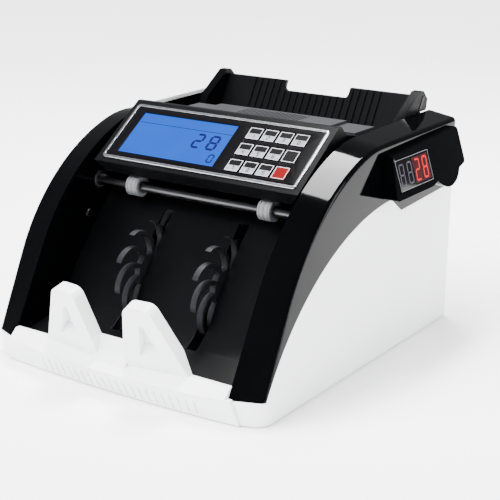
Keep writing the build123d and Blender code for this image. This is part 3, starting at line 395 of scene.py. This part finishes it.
def top_face(name, across, along):
    """Centre, width and height (in millimetres) of a node's outermost flat face in a tilted plane."""
    out = across.cross(along)
    places = [vertex.co.copy() for vertex in nodes[name].data.vertices]
    level = max(place.dot(out) for place in places)
    corners = [place for place in places if place.dot(out) > level - 0.0001]
    spans = [(min(corner.dot(way) for corner in corners), max(corner.dot(way) for corner in corners))
             for way in (across, along)]
    centre = out * level
    for way, (low, high) in zip((across, along), spans):
        centre += way * ((low + high) / 2)
    return centre, (spans[0][1] - spans[0][0]) * 1000, (spans[1][1] - spans[1][0]) * 1000


ACROSS = Vector((1, 0, 0))
KEY_LINE_INSET, KEY_LINE = 0.2, 0.45
LABEL_INSET, LABEL_SHARE = 0.8, 0.42
for name in [node for node in nodes if node.startswith("key_")]:
    face, key_width, key_height = top_face(name, ACROSS, UP_SLOPE)
    legend = Sheet(face, ACROSS, UP_SLOPE, LEGEND_LIFT)
    legend.outline("print_white", KEY_LINE_INSET - key_width / 2, KEY_LINE_INSET - key_height / 2,
                   key_width - 2 * KEY_LINE_INSET, key_height - 2 * KEY_LINE_INSET, KEY_LINE)
    label = name.removeprefix("key_")
    if label.isdigit():
        legend.panel("print_grey", LABEL_INSET - key_width / 2, LABEL_INSET - key_height / 2,
                     key_width - 2 * LABEL_INSET, key_height * LABEL_SHARE)
        legend.digit("print_dark", label, left=-1.2, bottom=-4.5, width=2.4, height=4.0, stroke=0.7,
                     rise=0.03)
    legend.build(f"{name}_legend", name)

# back-lit display: a pale edge, a thin rule and three dark figures
lcd_face, lcd_width, lcd_height = top_face("lcd_module", ACROSS, UP_SLOPE)
screen = Sheet(lcd_face, ACROSS, UP_SLOPE, FIGURE_LIFT)
LCD_EDGE_INSET, LCD_EDGE_LINE = 0.3, 0.9
screen.outline("lcd_edge", LCD_EDGE_INSET - lcd_width / 2, LCD_EDGE_INSET - lcd_height / 2,
               lcd_width - 2 * LCD_EDGE_INSET, lcd_height - 2 * LCD_EDGE_INSET, LCD_EDGE_LINE)
screen.panel("lcd_ink", 3.0 - lcd_width / 2, bottom=11.4, width=lcd_width - 5.5, height=0.45)
screen.digit("lcd_ink", "2", left=14.4, bottom=-6.2, width=8.8, height=15.0, stroke=2.0)
screen.digit("lcd_ink", "8", left=28.0, bottom=-6.2, width=9.0, height=15.0, stroke=2.0)
screen.digit("lcd_ink", "0", left=35.8, bottom=-18.0, width=5.4, height=8.6, stroke=1.2)
screen.build("lcd_figures", "case")

# numerals on the window of the side display, which leans inwards as it rises
WINDOW_LEAN = radians(17.8)
WINDOW_LINE = 0.3
DIGITS_ACROSS, DIGIT_SHARE, DIGIT_START, DIGIT_FOOT = 4.3, 0.62, 2.4, 3.4
window_low, window_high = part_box("pod_window")
window_up = Vector((-sin(WINDOW_LEAN), 0, cos(WINDOW_LEAN)))
window_face = Vector((window_high.x, (window_low.y + window_high.y) / 2, window_low.z))
window_width = (window_high.y - window_low.y) / MILLIMETRE
window_height = (window_high.z - window_low.z) / MILLIMETRE / cos(WINDOW_LEAN)
readout = Sheet(window_face, (0, 1, 0), window_up, READOUT_LIFT)
readout.outline("print_grey", WINDOW_LINE - window_width / 2, WINDOW_LINE, window_width - 2 * WINDOW_LINE,
                window_height - 2 * WINDOW_LINE, WINDOW_LINE)
READOUT = (("8", "led_off"), ("8", "led_off"), ("2", "led_on"), ("8", "led_on"))
digit_pitch = window_width / DIGITS_ACROSS
for place, (figure, material) in enumerate(READOUT):
    start = DIGIT_START - window_width / 2 + place * digit_pitch
    if material == "led_on":
        readout.panel("led_halo", start - 1.4, 2.2, digit_pitch - 0.4, window_height - 4.4)
    readout.digit(material, figure, start, DIGIT_FOOT, digit_pitch * DIGIT_SHARE,
                  window_height - 2 * DIGIT_FOOT - 0.2, stroke=1.3, rise=0.05, lean=0.08)
readout.build("pod_figures", "case")


# ------------------------------------------------------------------ surroundings
def linked(name, lamp, at, target):
    """Put a lamp in the scene, pointing at a target."""
    obj = bpy.data.objects.new(name, lamp)
    bpy.context.scene.collection.objects.link(obj)
    obj.location = at
    obj.rotation_euler = (Vector(target) - Vector(at)).to_track_quat("-Z", "Y").to_euler()
    return obj


def softbox(name, at, target, size, power):
    """Rectangular studio lamp."""
    lamp = bpy.data.lights.new(name, "AREA")
    lamp.shape = "RECTANGLE"
    lamp.size, lamp.size_y = size
    lamp.energy = power
    return linked(name, lamp, at, target)


def daylight(name, towards, strength, spread):
    """Even light from far away, kept out of the reflections."""
    lamp = bpy.data.lights.new(name, "SUN")
    lamp.energy = strength
    lamp.angle = radians(spread)
    lamp_object = linked(name, lamp, towards, (0, 0, 0))
    lamp_object.visible_glossy = False


daylight("front_left_light", (-0.55, -0.75, 1.0), 13.5, 55)
daylight("right_light", (1.0, -0.45, 0.7), 4.2, 60)
softbox("shoulder_light", (-0.14, 0.245, 1.09), (-0.12, 0.1, 0.1), (0.22, 0.62), 38)
softbox("side_strip", (1.3, 0.5, 0.6), (0.1, 0.0, 0.1), (0.3, 0.9), 12)

world = bpy.data.worlds.new("studio")
world.use_nodes = True
world.node_tree.nodes["Background"].inputs["Color"].default_value = (0.93, 0.96, 1.0, 1.0)
world.node_tree.nodes["Background"].inputs["Strength"].default_value = 0.3
bpy.context.scene.world = world

FLOOR_REACH = 60
floor_mesh = bpy.data.meshes.new("floor")
floor_mesh.from_pydata([(-FLOOR_REACH, -FLOOR_REACH, 0), (FLOOR_REACH, -FLOOR_REACH, 0),
                        (FLOOR_REACH, FLOOR_REACH, 0), (-FLOOR_REACH, FLOOR_REACH, 0)], [], [(0, 1, 2, 3)])
floor = bpy.data.objects.new("floor", floor_mesh)
bpy.context.scene.collection.objects.link(floor)
paper = Shader("paper", Roughness=0.9, Specular_IOR_Level=0.1)
paper.colour(paper.ramp(paper.noise(3), [(0.3, (0.92, 0.92, 0.92)), (0.7, (0.95, 0.95, 0.95))]))
floor_mesh.materials.append(paper.material)
